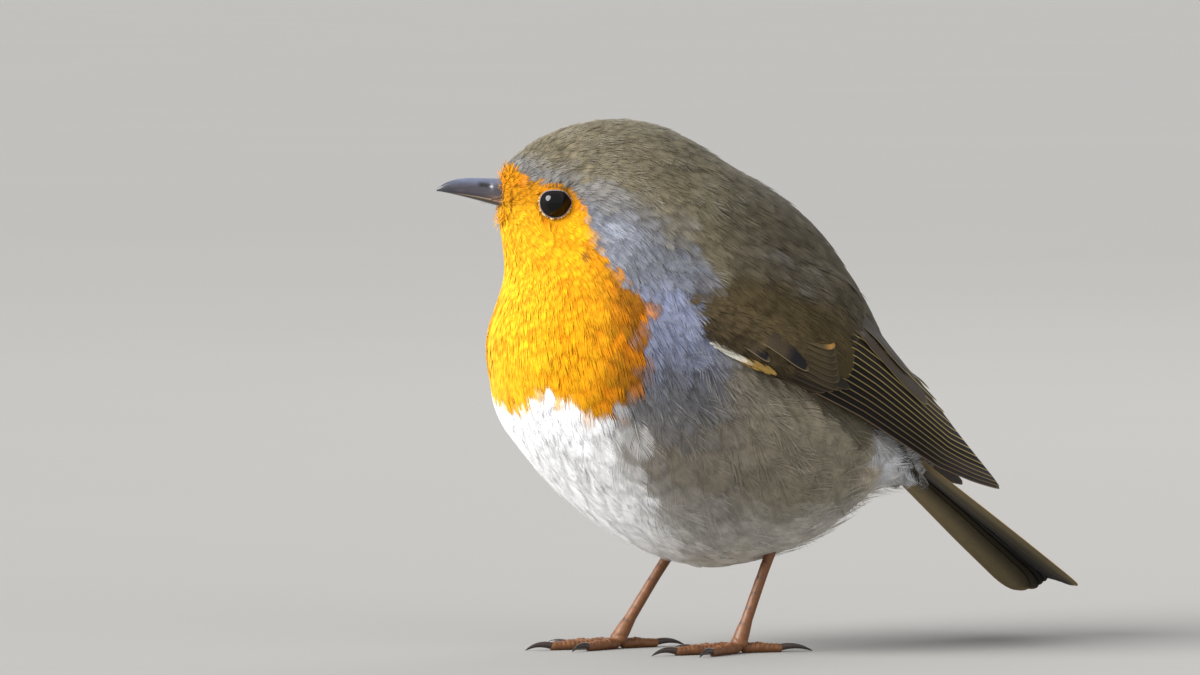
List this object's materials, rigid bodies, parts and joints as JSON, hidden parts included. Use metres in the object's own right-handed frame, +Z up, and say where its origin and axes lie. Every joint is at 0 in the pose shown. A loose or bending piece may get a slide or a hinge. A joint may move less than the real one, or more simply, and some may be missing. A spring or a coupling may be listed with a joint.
{
  "type": "bird figure",
  "caption": "Still life-size European robin, standing on both feet, plump, with its head turned slightly and its tail slanting down behind.",
  "frame": {"origin": "on the ground, below the centre of the bird's bounding box", "axes": "+Z up; the bird faces -X and its left side faces -Y"},
  "size_m": [0.1138, 0.0564, 0.0914],
  "materials": {
    "head_feathers": "short dense feathers, orange face and olive-brown crown",
    "neck_feathers": "dense feathers, orange throat, blue-grey sides and olive-brown nape",
    "body_feathers": "loose downy feathers, orange breast, white belly, buff-grey flanks and olive-brown back",
    "wing_feathers": "overlapping olive-brown coverts with buff tips",
    "flight_feathers": "stiff dark brown vanes with narrow pale olive outer edges",
    "tail_feathers": "stiff brown vanes with narrow pale edges",
    "bill_horn": "dark blue-grey horn, slightly polished",
    "eye": "wet black-brown eye",
    "leg_skin": "thin brown scales, faintly translucent",
    "claw_horn": "dark brown horn"
  },
  "bodies": {
    "root": {"head": "head_feathers", "neck": "neck_feathers", "trunk": "body_feathers", "tail": "tail_feathers", "wing_left": "wing_feathers", "wing_right": "wing_feathers", "flight_left": "flight_feathers", "flight_right": "flight_feathers", "bill_upper": "bill_horn", "bill_lower": "bill_horn", "eye_left": "eye", "eye_right": "eye", "tarsus_left": "leg_skin", "foot_left": "leg_skin", "claw_left_hind": "claw_horn", "claw_left_inner": "claw_horn", "claw_left_middle": "claw_horn", "claw_left_outer": "claw_horn", "tarsus_right": "leg_skin", "foot_right": "leg_skin", "claw_right_hind": "claw_horn", "claw_right_inner": "claw_horn", "claw_right_middle": "claw_horn", "claw_right_outer": "claw_horn"}
  },
  "joints": []
}
